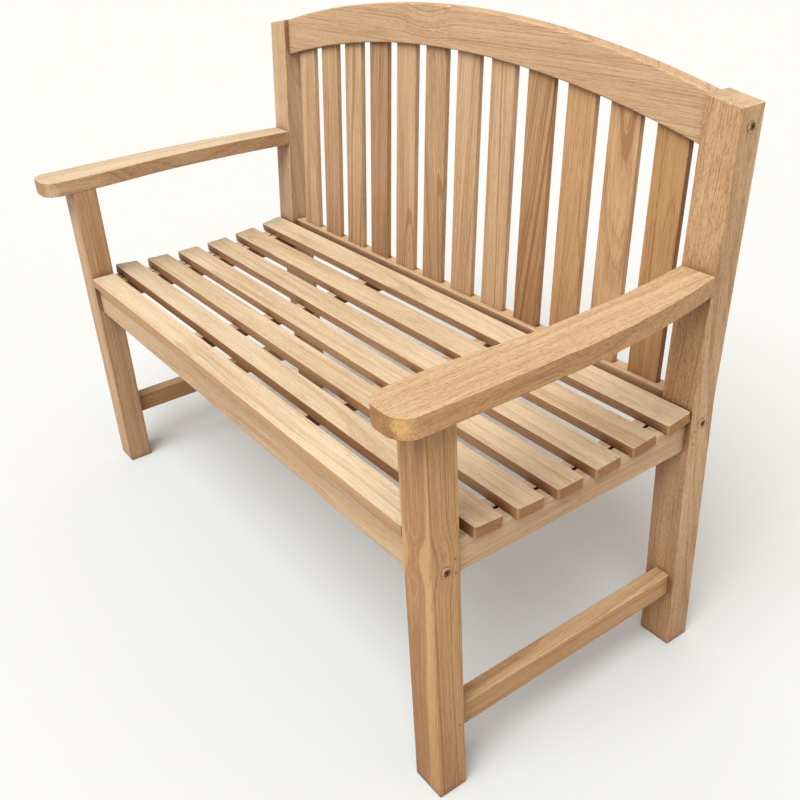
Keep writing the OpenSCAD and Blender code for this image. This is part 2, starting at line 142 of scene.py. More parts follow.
def board(name, outline, thickness, place, soft, end_soft=CRISP):
    """A board sawn to an outline and softened along its edges.

    The outline lies in the board's own XY plane, X along its grain, and the
    board reaches from Z = 0 to its thickness. Edges at its two ends in X get
    end_soft (one value, or one for the low and one for the high end).
    """
    low_soft, high_soft = end_soft if isinstance(end_soft, tuple) else (end_soft, end_soft)
    mesh = bpy.data.meshes.new(name)
    bm = bmesh.new()
    bottom = [bm.verts.new((x, y, 0)) for x, y in outline]
    top = [bm.verts.new((x, y, thickness)) for x, y in outline]
    bm.faces.new(bottom[::-1])
    bm.faces.new(top)
    count = len(outline)
    for i in range(count):
        j = (i + 1) % count
        bm.faces.new((bottom[i], bottom[j], top[j], top[i]))
    bmesh.ops.recalc_face_normals(bm, faces=bm.faces)
    weight = bm.edges.layers.float.new("bevel_weight_edge")
    low_end = min(x for x, _ in outline)
    high_end = max(x for x, _ in outline)
    for edge in bm.edges:
        a, b = (vert.co for vert in edge.verts)
        radius = soft
        if max(a.x, b.x) < low_end + NEAR:
            radius = low_soft
        elif min(a.x, b.x) > high_end - NEAR:
            radius = high_soft
        if edge.calc_face_angle(0) < SMOOTH_TURN:
            radius = 0
        edge[weight] = radius / soft
    bm.to_mesh(mesh)
    bm.free()
    for face in mesh.polygons:
        face.use_smooth = True
    piece = add_object(name, mesh)
    piece.matrix_world = place
    bevel = piece.modifiers.new("soft_edges", "BEVEL")
    bevel.limit_method = "WEIGHT"
    bevel.width = soft
    bevel.segments = BEVEL_SEGMENTS
    bevel.use_clamp_overlap = True
    normals = piece.modifiers.new("flat_faces", "WEIGHTED_NORMAL")
    normals.keep_sharp = True
    return piece


def rectangle(length, width):
    return [(0, 0), (length, 0), (length, width), (0, width)]


def clipped_rectangle(length, width, clip, steps=4):
    """A rectangle with its four corners rounded by the radius clip."""
    points = []
    corners = [
        (length - clip, clip, -90),
        (length - clip, width - clip, 0),
        (clip, width - clip, 90),
        (clip, clip, 180),
    ]
    for cx, cy, start in corners:
        for k in range(steps + 1):
            angle = math.radians(start + 90 * k / steps)
            points.append((cx + clip * math.cos(angle), cy + clip * math.sin(angle)))
    return points


def axes(origin, along, across):
    """Matrix that puts a board's X along one direction and its Y across it."""
    x = Vector(along).normalized()
    y = Vector(across).normalized()
    z = x.cross(y)
    place = Matrix((x, y, z)).transposed().to_4x4()
    place.translation = Vector(origin)
    return place


# ---- Materials ----


def add_node(tree, kind, inputs=None, **settings):
    """Adds a node: inputs maps a socket's name or number to a value or an output to link."""
    node = tree.nodes.new(kind)
    for key, value in settings.items():
        setattr(node, key, value)
    for key, value in (inputs or {}).items():
        if isinstance(value, bpy.types.NodeSocket):
            tree.links.new(value, node.inputs[key])
        else:
            node.inputs[key].default_value = value
    return node


def math_node(tree, operation, a, b=0.0, clamp=False):
    node = add_node(tree, "ShaderNodeMath", {0: a, 1: b}, operation=operation)
    node.use_clamp = clamp
    return node.outputs[0]


def stretched(tree, vector, along, across):
    """Board coordinates scaled so that a pattern runs along the grain."""
    node = add_node(tree, "ShaderNodeVectorMath", {0: vector, 1: (along, across, across)},
                    operation="MULTIPLY")
    return node.outputs[0]


def noise(tree, vector, detail=2.0, roughness=0.5):
    node = add_node(tree, "ShaderNodeTexNoise",
                    {"Vector": vector, "Scale": 1.0, "Detail": detail, "Roughness": roughness})
    return node.outputs[0]


def ramp(tree, value, *stops):
    """A colour ramp of grey levels: each stop is (position, level)."""
    node = add_node(tree, "ShaderNodeValToRGB", {0: value})
    elements = node.color_ramp.elements
    while len(elements) < len(stops):
        elements.new(0.5)
    for element, (position, level) in zip(elements, stops):
        element.position = position
        element.color = (level, level, level, 1)
    return node.outputs[0]


def mix_colour(tree, factor, a, b, blend="MIX"):
    node = add_node(tree, "ShaderNodeMix", {0: factor, 6: a, 7: b}, data_type="RGBA",
                    blend_type=blend)
    return node.outputs[2]


RINGS_PER_METRE = 330.0
RING_WANDER = 0.010     # how far the rings stray from true cylinders
CREVICE_SHADE_REACH = 0.025    # how near other wood must stand for painted shade in corners and gaps
SHELTER_SHADE_REACH = 0.6     # how far the seat, the arms and the ground reach to cast painted shade on the wood

# Linear colours: a pale colour painted on faces that look up as painted light from above, and
# teak's fresh gold, amber and brown heartwood
PAINTED_TOP_LIGHT = Vector((0.49, 0.385, 0.262))
GOLDEN = Vector((0.47, 0.315, 0.185))
AMBER = Vector((0.43, 0.247, 0.105))
BROWN = Vector((0.29, 0.158, 0.078))
SWELL_LENGTH = 0.55     # width of a swell in the grain as a share of its length
SWELL_LIFT = 0.20       # rise of the grain in its middle as a share of its reach
KNOT_HALO = (0.50, 0.32, 0.12, 1)
KNOT_HEART = (0.46, 0.20, 0.04, 1)

# Marks in single boards: a place in the board's own coordinates, and their radius
RIGHT_LEG_SWELL = ((0.40, 0.022), 0.035)
TOP_RAIL_SWELL = ((-0.06, 0.455), 0.05)
RIGHT_ARM_KNOT = ((-0.042, -0.587, 0.0165), 0.013)

# Dark parts of the wood, and painted shade, as a share of the colour around them
GRAIN = (0.58, 0.46, 0.36, 1)
END_GRAIN = (0.66, 0.52, 0.38, 1)   # sawn ends
PAINTED_CREVICE_SHADE = (0.45, 0.32, 0.23, 1)      # painted shade in corners and gaps
PAINTED_SHELTER_SHADE = (0.52, 0.36, 0.25, 1)   # painted shade under the seat and near the ground


def empty_material(name):
    material = bpy.data.materials.new(name)
    material.use_nodes = True
    material.node_tree.nodes.clear()
    return material


def make_teak_group():
    """Node group that paints bare teak from a board's own coordinates, X along the grain."""
    tree = bpy.data.node_groups.new("teak", "ShaderNodeTree")
    socket = tree.interface.new_socket
    socket("Board", in_out="INPUT", socket_type="NodeSocketVector")
    socket("Side colour", in_out="INPUT", socket_type="NodeSocketColor")
    socket("Top lit", in_out="INPUT", socket_type="NodeSocketColor")
    for name in ("Figure", "Streaks", "Speckle", "Blotches", "Ends"):
        socket(name, in_out="INPUT", socket_type="NodeSocketFloat")
    socket("Colour", in_out="OUTPUT", socket_type="NodeSocketColor")
    socket("Roughness", in_out="OUTPUT", socket_type="NodeSocketFloat")
    socket("Height", in_out="OUTPUT", socket_type="NodeSocketFloat")
    given = tree.nodes.new("NodeGroupInput").outputs
    board_at = given["Board"]

    # Growth rings about the pith, uneven in width and wandering along the grain
    wander = add_node(tree, "ShaderNodeTexNoise",
                      {"Vector": stretched(tree, board_at, 2.2, 11.0), "Scale": 1.0,
                       "Detail": 2.0}).outputs["Color"]
    wander = add_node(tree, "ShaderNodeVectorMath",
                      {0: wander, 1: (0.5, 0.5, 0.5)}, operation="SUBTRACT").outputs[0]
    strayed = add_node(tree, "ShaderNodeVectorMath",
                       {0: wander, 1: (RING_WANDER,) * 3, 2: board_at},
                       operation="MULTIPLY_ADD").outputs[0]
    radius = add_node(tree, "ShaderNodeVectorMath",
                      {0: stretched(tree, strayed, 0.0, 1.0)}, operation="LENGTH").outputs["Value"]
    ring_at = math_node(tree, "MULTIPLY", radius, RINGS_PER_METRE)
    rings = add_node(tree, "ShaderNodeTexNoise",
                     {"W": ring_at, "Scale": 1.0, "Detail": 5.0, "Roughness": 0.70},
                     noise_dimensions="1D").outputs[0]
    ring_level = ramp(tree, rings, (0.34, 1.0), (0.42, 0.45), (0.50, 0.10), (0.60, 0.0),
                      (0.72, 0.30))

    # Fibres, from broad streaks down to pores
    broad = noise(tree, stretched(tree, board_at, 1.6, 70.0), 3.0)
    fine = noise(tree, stretched(tree, board_at, 7.0, 480.0), 4.0, 0.72)
    pores = ramp(tree, noise(tree, stretched(tree, board_at, 70.0, 1100.0), 1.0),
                 (0.54, 0.0), (0.68, 1.0))
    flecks = ramp(tree, noise(tree, stretched(tree, board_at, 170.0, 520.0), 2.0),
                  (0.50, 0.0), (0.66, 1.0))
    blotch = noise(tree, stretched(tree, board_at, 3.0, 14.0), 2.0)

    # How dark the wood is at each point, from 0 (pale) to 1 (dark)
    level = math_node(tree, "MULTIPLY", ring_level, given["Figure"])
    streak = math_node(tree, "MULTIPLY", math_node(tree, "SUBTRACT", fine, 0.5), 2.0)
    streak = math_node(tree, "ADD", math_node(tree, "SUBTRACT", broad, 0.5), streak)
    level = math_node(tree, "ADD", level, math_node(tree, "MULTIPLY", streak, given["Streaks"]))
    patch = math_node(tree, "MULTIPLY", math_node(tree, "SUBTRACT", blotch, 0.5),
                      given["Blotches"])
    level = math_node(tree, "ADD", level, patch)
    level = math_node(tree, "ADD", level, math_node(tree, "MULTIPLY", flecks, given["Speckle"]))
    level = math_node(tree, "ADD", level, math_node(tree, "MULTIPLY", pores, 0.38))
    level = math_node(tree, "ADD", level, 0.18, clamp=True)

    # Painted light: faces that look up are painted a paler colour, as if lit from above
    facing = add_node(tree, "ShaderNodeNewGeometry").outputs["Normal"]
    upward = add_node(tree, "ShaderNodeSeparateXYZ", {0: facing}).outputs[2]
    up_light_mask = ramp(tree, upward, (0.45, 0.0), (0.92, 1.0))
    wood = mix_colour(tree, up_light_mask, given["Side colour"], given["Top lit"])
    grained = mix_colour(tree, 1.0, wood, GRAIN, "MULTIPLY")
    colour = mix_colour(tree, level, wood, grained)

    # Sawn ends drink up light: end grain is browner, dotted with open pores
    normal = add_node(tree, "ShaderNodeTexCoord").outputs["Normal"]
    normal_x = add_node(tree, "ShaderNodeSeparateXYZ", {0: normal}).outputs[0]
    end_grain = ramp(tree, math_node(tree, "ABSOLUTE", normal_x), (0.70, 0.0), (0.95, 1.0))
    dots = ramp(tree, noise(tree, stretched(tree, board_at, 700.0, 700.0), 3.0, 0.7),
                (0.42, 0.55), (0.60, 1.0))
    end_level = math_node(tree, "MULTIPLY", math_node(tree, "MULTIPLY", end_grain, dots),
                          given["Ends"])
    colour = mix_colour(tree, end_level, colour, END_GRAIN, "MULTIPLY")

    # Painted shade: ambient occlusion darkens and reddens corners, gaps and sheltered faces, but
    # hardly if they look up
    shaded = math_node(tree, "SUBTRACT", 1.0, math_node(tree, "MULTIPLY", up_light_mask, 0.95))
    for reach, tint, (shut, clear) in (
        (CREVICE_SHADE_REACH, PAINTED_CREVICE_SHADE, (0.30, 0.80)),
        (SHELTER_SHADE_REACH, PAINTED_SHELTER_SHADE, (0.15, 0.75)),
    ):
        open_air = add_node(tree, "ShaderNodeAmbientOcclusion", {"Distance": reach},
                            samples=8).outputs["AO"]
        painted_shade = ramp(tree, open_air, (shut, 1.0), (clear, 0.0))
        painted_shade = math_node(tree, "MULTIPLY", painted_shade, shaded)
        colour = mix_colour(tree, painted_shade, colour, tint, "MULTIPLY")

    rough = math_node(tree, "ADD", 0.50, math_node(tree, "MULTIPLY", fine, 0.16))
    rough = math_node(tree, "ADD", rough, math_node(tree, "MULTIPLY", end_grain, 0.15))
    height = math_node(tree, "SUBTRACT", math_node(tree, "MULTIPLY", fine, 0.6), pores)
    height = math_node(tree, "SUBTRACT", height, math_node(tree, "MULTIPLY", ring_level, 0.5))
    out = tree.nodes.new("NodeGroupOutput")
    tree.links.new(colour, out.inputs["Colour"])
    tree.links.new(rough, out.inputs["Roughness"])
    tree.links.new(height, out.inputs["Height"])
    return tree


TEAK = make_teak_group()


def with_swell(tree, board_at, centre, reach):
    """Board coordinates whose grain swells about one place, as it does round a branch."""
    along, across = centre
    flat = add_node(tree, "ShaderNodeVectorMath", {0: board_at, 1: (SWELL_LENGTH, 1, 0)},
                    operation="MULTIPLY").outputs[0]
    distance = add_node(tree, "ShaderNodeVectorMath",
                        {0: flat, 1: (along * SWELL_LENGTH, across, 0)},
                        operation="DISTANCE").outputs["Value"]
    near = add_node(tree, "ShaderNodeMapRange",
                    {"Value": distance, 1: 0.0, 2: reach, 3: 1.0, 4: 0.0},
                    interpolation_type="SMOOTHSTEP").outputs[0]
    lift = math_node(tree, "MULTIPLY", near, SWELL_LIFT * reach)
    shift = add_node(tree, "ShaderNodeCombineXYZ", {1: lift, 2: lift}).outputs[0]
    return add_node(tree, "ShaderNodeVectorMath", {0: board_at, 1: shift},
                    operation="ADD").outputs[0]


def with_knot(tree, colour, coordinates, centre, radius):
    """Paints a small knot on a board: a yellow halo about an orange heart."""
    wobble = add_node(tree, "ShaderNodeTexNoise",
                      {"Vector": coordinates, "Scale": 260.0, "Detail": 2.0}).outputs["Color"]
    strayed = add_node(tree, "ShaderNodeVectorMath",
                       {0: wobble, 1: (radius,) * 3, 2: coordinates},
                       operation="MULTIPLY_ADD").outputs[0]
    middle = tuple(c + radius / 2 for c in centre)
    distance = add_node(tree, "ShaderNodeVectorMath", {0: strayed, 1: middle},
                        operation="DISTANCE").outputs["Value"]
    share = math_node(tree, "DIVIDE", distance, radius)
    halo = ramp(tree, share, (0.45, 0.75), (1.0, 0.0))
    heart = ramp(tree, share, (0.18, 0.9), (0.42, 0.0))
    colour = mix_colour(tree, halo, colour, KNOT_HALO)
    return mix_colour(tree, heart, colour, KNOT_HEART)


def teak(name, tone=0.3, amber=0.0, top_light_share=0.0, flat_sawn=True, figure=0.5, streaks=0.9,
         speckle=0.0, blotches=0.8, ends=1.0, slant=0.0, swells=(), knots=()):
    """Teak for one board, seeded by its name.

    Tone 0 is golden and 1 is brown, and it may go a little past either. Amber mixes
    in that colour; the top-light share paints faces that look up paler, as painted light.
    Slant tilts the grain, in degrees.
    """
    rng = random.Random("teak " + name)
    material = empty_material("teak_" + name)
    tree = material.node_tree
    coordinates = add_node(tree, "ShaderNodeTexCoord").outputs["Object"]
    pith = rng.uniform(0.05, 0.09)
    aside = rng.uniform(-0.02, 0.02)
    along = rng.uniform(-9, 9)
    offset = (along, aside, pith) if flat_sawn else (along, pith, aside)
    tilt = [math.radians(rng.uniform(-1.6, 1.6)) for _ in range(2)]
    tilt[1] += math.radians(slant)
    swollen = coordinates
    for centre, reach in swells:
        swollen = with_swell(tree, swollen, centre, reach)
    mapped = add_node(tree, "ShaderNodeMapping",
                      {"Vector": swollen, "Location": offset, "Rotation": (0, *tilt)})
    side_colour = GOLDEN.lerp(BROWN, tone).lerp(AMBER, amber)
    # Painted light: faces that look up get this paler colour
    top_lit_colour = side_colour.lerp(PAINTED_TOP_LIGHT, top_light_share)
    group = add_node(tree, "ShaderNodeGroup", node_tree=TEAK)
    tree.links.new(mapped.outputs[0], group.inputs["Board"])
    values = {"Side colour": (*side_colour, 1), "Top lit": (*top_lit_colour, 1), "Figure": figure,
              "Streaks": streaks, "Speckle": speckle, "Blotches": blotches, "Ends": ends}
    for key, value in values.items():
        group.inputs[key].default_value = value
    colour = group.outputs["Colour"]
    for centre, radius in knots:
        colour = with_knot(tree, colour, coordinates, centre, radius)
    bump = add_node(tree, "ShaderNodeBump",
                    {"Height": group.outputs["Height"], "Strength": 0.35, "Distance": 0.0004})
    shader = add_node(tree, "ShaderNodeBsdfPrincipled",
                      {"Base Color": colour, "Roughness": group.outputs["Roughness"],
                       "Specular IOR Level": 0.35, "Normal": bump.outputs[0]})
    add_node(tree, "ShaderNodeOutputMaterial", {"Surface": shader.outputs[0]})
    return material


def metal(name, colour, tarnish, roughness):
    """Turned metal with faint tarnish and uneven polish."""
    material = empty_material(name)
    tree = material.node_tree
    coordinates = add_node(tree, "ShaderNodeTexCoord").outputs["Object"]
    patches = add_node(tree, "ShaderNodeTexNoise",
                       {"Vector": coordinates, "Scale": 260.0, "Detail": 4.0}).outputs[0]
    stain = ramp(tree, patches, (0.42, 0.0), (0.68, 1.0))
    tint = mix_colour(tree, stain, (*colour, 1), (*tarnish, 1))
    rough = math_node(tree, "ADD", roughness, math_node(tree, "MULTIPLY", patches, 0.25))
    scratches = add_node(tree, "ShaderNodeTexNoise",
                         {"Vector": coordinates, "Scale": 1400.0, "Detail": 2.0}).outputs[0]
    bump = add_node(tree, "ShaderNodeBump",
                    {"Height": scratches, "Strength": 0.2, "Distance": 0.0001})
    shader = add_node(tree, "ShaderNodeBsdfPrincipled",
                      {"Base Color": tint, "Metallic": 1.0, "Roughness": rough,
                       "Normal": bump.outputs[0]})
    add_node(tree, "ShaderNodeOutputMaterial", {"Surface": shader.outputs[0]})
    return material


def finish_piece(piece, node, material):
    """Gives a piece its material and lets it stand for its CAD node."""
    piece.data.materials.append(material)
    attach(piece, "root")
    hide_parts(node)


# ---- Legs and posts ----


def mirrored(place):
    """The same place on the left-hand side of the bench."""
    return Matrix.Scale(-1, 4, (1, 0, 0)) @ place


def make_front_leg(side):
    origin = (low_x(side, LEG_INNER, LEG_OUTER), LEG_BACK, 0)
    place = axes(origin, (0, 0, 1), (0, -1, 0))
    piece = board(f"leg_front_{side}", rectangle(ARM_UNDER, LEG_D), LEG_W, place,
                  soft=LEG_SOFT, end_soft=(LEG_SOFT, CRISP))
    node = f"front_leg_{side}"
    tone = {"left": 0.0, "right": 0.5}[side]
    amber = {"left": 0.15, "right": 0.9}[side]
    swells = {"left": [], "right": [RIGHT_LEG_SWELL]}[side]
    finish_piece(piece, node, teak(node, tone, amber, flat_sawn=False, figure=0.75,
                                   swells=swells))


def make_rear_post(side):
    """Post outline: X climbs from the floor, Y runs from the back face to the front."""
    front_top = BACK_FRAME @ Vector((0, 0, POST_V))
    outline = [
        (0, 0),
        (KNEE_HEIGHT, 0),
        (front_top.z, POST_FRONT + LEG_D - POST_HI.y),
        (front_top.z, POST_FRONT + LEG_D - front_top.y),
        (KNEE_HEIGHT, LEG_D),
        (0, LEG_D),
    ]
    origin = (low_x(side, LEG_INNER, LEG_OUTER), POST_FRONT + LEG_D, 0)
    place = axes(origin, (0, 0, 1), (0, -1, 0))
    piece = board(f"post_rear_{side}", outline, LEG_W, place, soft=LEG_SOFT,
                  end_soft=(LEG_SOFT, POST_TOP_SOFT))
    slope_top(piece, side)
    node = f"rear_post_{side}"
    amber = {"left": 0.0, "right": 0.3}[side]
    speckle = {"left": 0.0, "right": 0.40}[side]
    finish_piece(piece, node, teak(node, 0.0, amber, top_light_share=0.6, figure=0.5,
                                   speckle=speckle, ends=0.2))


def slope_top(piece, side):
    """Lowers the outer corners of a post's top end."""
    fall = LEG_W * math.tan(POST_TOP_FALL)
    outer_z = LEG_W if side == "right" else 0
    top = max(vert.co.x for vert in piece.data.vertices) - LEG_D / 2
    for vert in piece.data.vertices:
        if vert.co.x > top and abs(vert.co.z - outer_z) < NEAR:
            vert.co.x -= fall


# ---- Rails ----


def make_rail(name, node, low, high, frame_matrix):
    """A straight rail between two corners given in a frame, its grain along X."""
    size = Vector(high) - Vector(low)
    place = frame_matrix @ axes((low[0], high[1], low[2]), (1, 0, 0), (0, 0, 1))
    piece = board(name, rectangle(size.x, size.z), size.y, place, soft=RAIL_SOFT)
    finish_piece(piece, node, teak(node, tone=0.10))


def make_front_rail():
    low = (-LEG_INNER, LEG_FRONT + FRONT_SETBACK, FRONT_RAIL_LO.z)
    high = (LEG_INNER, LEG_FRONT + FRONT_SETBACK + RAIL_T, FRONT_RAIL_HI.z)
    make_rail("rail_front", "front_rail", low, high, Matrix.Identity(4))


def make_lower_back_rail():
    low = (-LEG_INNER, RAIL_SETBACK, LOWER_RAIL_RISE - LOWER_RAIL_H)
    high = (LEG_INNER, RAIL_SETBACK + RAIL_T, LOWER_RAIL_RISE)
    make_rail("rail_back_lower", "lower_back_rail", low, high, BACK_FRAME)


def make_top_rail():
    """The arched rail, sawn from one wide plank: its grain runs straight past one swell."""
    steps = 48
    xs = [-LEG_INNER + 2 * LEG_INNER * k / steps for k in range(steps + 1)]
    lower = [(x, arch_v(x, ARCH_R - TOP_RAIL_H)) for x in xs]
    upper = [(x, arch_v(x, ARCH_R)) for x in reversed(xs)]
    place = BACK_FRAME @ axes((0, RAIL_SETBACK + RAIL_T, 0), (1, 0, 0), (0, 0, 1))
    piece = board("rail_top", lower + upper, RAIL_T, place, soft=TOP_RAIL_SOFT)
    material = teak("top_rail", tone=0.15, figure=0.5, swells=[TOP_RAIL_SWELL])
    finish_piece(piece, "top_rail", material)


def seat_slats():
    """Centre and tilt of each seat slat's top face, from its packed box."""
    places = []
    for i in range(1, SEAT_SLAT_COUNT + 1):
        low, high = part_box(f"seat_slat_{i:02d}")
        rise = (high.z - low.z - SEAT_SLAT_T) / SEAT_SLAT_W
        tilt = math.asin(min(max(rise, 0), 1))
        centre = (low + high) / 2
        places.append([centre, tilt])
    lowest = min(places[1:], key=lambda place: place[0].z)
    for place in places:
        if place[0].y < lowest[0].y:
            place[1] = -place[1]
    return places


SLATS = seat_slats()


def under_corner(centre, tilt, edge):
    """A lower long edge of a slat, in the YZ plane: edge -1 is its front, 1 its back."""
    half_w = edge * SEAT_SLAT_W / 2
    half_t = SEAT_SLAT_T / 2
    return (
        centre.y + half_w * math.cos(tilt) + half_t * math.sin(tilt),
        centre.z + half_w * math.sin(tilt) - half_t * math.cos(tilt),
    )


def support_outline(front, back, under):
    """Outline of a board that carries slats 2 to 7, as (y, z) from its low front corner."""
    tops = [under_corner(*place, edge) for place in SLATS[1:] for edge in (-1, 1)]
    tops = [point for point in tops if front < point[0] < back]
    outline = [(front, under), (back, under), (back, tops[-1][1])]
    outline += tops[::-1]
    outline.append((front, tops[0][1]))
    return outline


def make_support(name, node, x_low, thickness, front, back, under, tone):
    """A side rail or batten: grain along Y, sawn to the seat's dish on top."""
    place = axes((x_low, 0, 0), (0, 1, 0), (0, 0, 1))
    outline = support_outline(front, back, under)
    piece = board(name, outline, thickness, place, soft=RAIL_SOFT)
    # Painted light: the top face gets a strong share of painted top light
    finish_piece(piece, node, teak(node, tone, top_light_share=0.9, flat_sawn=False))


def make_side_rail(side):
    x_low = low_x(side, SIDE_RAIL_LO.x, SIDE_RAIL_HI.x)
    make_support(f"rail_{side}", f"side_rail_{side}", x_low, RAIL_T, LEG_BACK, POST_FRONT,
                 SIDE_RAIL_LO.z, tone=0.0)


def make_end_batten(side):
    low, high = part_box(f"end_batten_{side}")
    # Painted shade: tone 1.3 paints the batten's faces under the slats very dark
    make_support(f"batten_end_{side}", f"end_batten_{side}", low.x, high.x - low.x, LEG_BACK,
                 POST_FRONT, low.z, tone=1.3)


def make_middle_batten(side):
    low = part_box(f"middle_batten_{side}")[0]
    front = LEG_FRONT + FRONT_SETBACK + RAIL_T
    lean = (KNEE_HEIGHT - low.z) * math.tan(BACK_RAKE)
    # Painted shade: tone 1.3 paints the batten's faces under the slats very dark
    make_support(f"batten_middle_{side}", f"middle_batten_{side}", low.x, RAIL_T, front,
                 POST_FRONT + RAIL_SETBACK - lean, low.z, tone=1.3)


def make_stretcher(side):
    x_low = low_x(side, STRETCHER_LO.x, STRETCHER_HI.x)
    place = axes((x_low, LEG_BACK, STRETCHER_LO.z), (0, 1, 0), (0, 0, 1))
    height = STRETCHER_HI.z - STRETCHER_LO.z
    piece = board(f"stretcher_{side}", rectangle(POST_FRONT - LEG_BACK, height), RAIL_T, place,
                  soft=STRETCHER_SOFT)
    node = f"side_stretcher_{side}"
    material = teak(node, tone=0.35, amber=0.85, top_light_share=0.3, flat_sawn=False)
    finish_piece(piece, node, material)


# ---- Seat and back slats ----

# How much painted top light each seat slat's top face gets, from the front
SEAT_TOP_LIGHT = [1.0, 1.0, 0.9, 0.9, 0.95, 0.75, 0.9]
# Tone, amber, figure and slant (in degrees) of each back slat, from the left
BACK_WOOD = [
    (-0.15, 0.00, 0.5, 0), (0.35, 0.20, 0.5, 1), (0.00, 0.00, 0.9, 0), (0.80, 0.10, 0.6, 3),
    (0.10, 0.20, 0.7, 0), (0.30, 0.05, 0.9, -5), (0.00, 0.10, 0.6, 1), (-0.15, 0.10, 0.9, 0),
    (0.85, 0.40, 1.1, 8), (0.45, 0.60, 0.5, 4), (0.00, 0.55, 0.9, 0), (1.00, 0.80, 0.8, -2),
]


def make_seat_slat(i):
    node = f"seat_slat_{i:02d}"
    low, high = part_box(node)
    centre, tilt = SLATS[i - 1]
    length = high.x - low.x
    tilted = Matrix.Translation(centre) @ Matrix.Rotation(tilt, 4, "X")
    place = tilted @ Matrix.Translation((-length / 2, -SEAT_SLAT_W / 2, -SEAT_SLAT_T / 2))
    outline = clipped_rectangle(length, SEAT_SLAT_W, SEAT_SLAT_CORNER)
    piece = board(f"slat_seat_{i:02d}", outline, SEAT_SLAT_T, place,
                  soft=SEAT_SLAT_SOFT, end_soft=SEAT_SLAT_END_SOFT)
    material = teak(node, tone=0.9, amber=0.55, top_light_share=SEAT_TOP_LIGHT[i - 1], figure=0.36)
    finish_piece(piece, node, material)


def make_back_slat(i):
    node = f"back_slat_{i:02d}"
    low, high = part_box(node)
    x = (low.x + high.x) / 2
    width = high.x - low.x
    v_low = LOWER_RAIL_RISE - BACK_SLAT_LET_IN
    v_high = arch_v(x, ARCH_R - TOP_RAIL_H) + BACK_SLAT_LET_IN
    back = RAIL_SETBACK + (RAIL_T + BACK_SLAT_T) / 2
    place = BACK_FRAME @ axes((x + width / 2, back, v_low), (0, 0, 1), (-1, 0, 0))
    piece = board(f"slat_back_{i:02d}", rectangle(v_high - v_low, width), BACK_SLAT_T, place,
                  soft=BACK_SLAT_SOFT)
    tone, amber, figure, slant = BACK_WOOD[i - 1]
    material = teak(node, tone, amber, figure=figure, streaks=1.1, slant=slant)
    finish_piece(piece, node, material)


# ---- Armrests ----


def arm_outer(y):
    """Distance of the armrest's outer edge from the middle, y behind the legs' front."""
    post = ARM_END - LEG_FRONT
    if y < ARM_WIDE:
        front = ARM_LO.y - LEG_FRONT
        return ARM_HI.x - ARM_TAPER * ((ARM_WIDE - y) / (ARM_WIDE - front)) ** 2
    return ARM_HI.x - (ARM_HI.x - LEG_OUTER) * ((y - ARM_WIDE) / (post - ARM_WIDE)) ** 2


def arm_inner(side, y):
    """Distance of the armrest's inner edge from the middle."""
    post = ARM_END - LEG_FRONT
    front = ARM_LO.y - LEG_FRONT
    trimmed = LEG_INNER + ARM_TRIM[side] * max(0, (ARM_DEEP - y) / (ARM_DEEP - front))
    if y < ARM_STRAIGHT:
        return trimmed
    if y < ARM_DEEP:
        swing = math.cos(math.pi * (y - ARM_STRAIGHT) / (ARM_DEEP - ARM_STRAIGHT))
        return trimmed + ARM_WAIST * (1 - swing) / 2
    return trimmed + ARM_WAIST * (1 - ((y - ARM_DEEP) / (post - ARM_DEEP)) ** 2)


def make_armrest(side):
    """Armrest outline: X runs from the front end to the post, Y away from the middle."""
    sign = SIDES[side]
    front = ARM_LO.y
    radius = ARM_CORNER_R
    corner = front + radius - LEG_FRONT
    steps = 40
    end = ARM_END - LEG_FRONT
    ys = [corner + (end - corner) * k / steps for k in range(1, steps + 1)]
    inner = arm_inner(side, corner) + radius
    outer = arm_outer(corner) - radius
    corner_steps = 10
    turn = [math.radians(90 * k / corner_steps) for k in range(corner_steps + 1)]
    points = [(corner - radius * math.cos(a), inner - radius * math.sin(a)) for a in turn[::-1]]
    points += [(corner - radius * math.cos(a), outer + radius * math.sin(a)) for a in turn]
    points += [(y, arm_outer(y)) for y in ys]
    points += [(y, arm_inner(side, y)) for y in reversed(ys)]
    outline = [(y, x * -sign) for y, x in points]
    if sign > 0:
        outline = outline[::-1]
    place = axes((0, LEG_FRONT, ARM_UNDER), (0, 1, 0), (-1, 0, 0))
    thickness = ARM_TOP - ARM_UNDER
    piece = board(f"arm_{side}", outline, thickness, place, soft=ARM_SOFT)
    rake_end(piece, thickness)
    node = f"armrest_{side}"
    amber = {"left": 0.0, "right": 0.9}[side]
    top_light_share = {"left": 1.0, "right": 0.5}[side]
    knots = {"left": [], "right": [RIGHT_ARM_KNOT]}[side]
    material = teak(node, tone=0.0, amber=amber, top_light_share=top_light_share, figure=0.45, speckle=0.4,
                    knots=knots)
    finish_piece(piece, node, material)


def rake_end(piece, thickness):
    """Draws in the lower corners of an armrest's rear end, to follow the post's lean."""
    end = max(vert.co.x for vert in piece.data.vertices)
    for vert in piece.data.vertices:
        if vert.co.x > end - NEAR and vert.co.z < thickness / 2:
            vert.co.x -= thickness * math.tan(BACK_RAKE)


# ---- Bolts, pins and hidden fittings ----


def lathe(bm, profile, place, steps):
    """Turns a closed-ended profile of (along, radius) points about the X axis of place."""
    rings = []
    for along, radius in profile:
        if radius == 0:
            rings.append([bm.verts.new(place @ Vector((along, 0, 0)))])
            continue
        ring = []
        for k in range(steps):
            a = 2 * math.pi * k / steps
            point = Vector((along, radius * math.cos(a), radius * math.sin(a)))
            ring.append(bm.verts.new(place @ point))
        rings.append(ring)
    for one, two in zip(rings, rings[1:]):
        for k in range(steps):
            j = (k + 1) % steps
            corners = [one[k % len(one)], one[j % len(one)], two[j % len(two)], two[k % len(two)]]
            unique = list(dict.fromkeys(corners))
            bm.faces.new(unique)


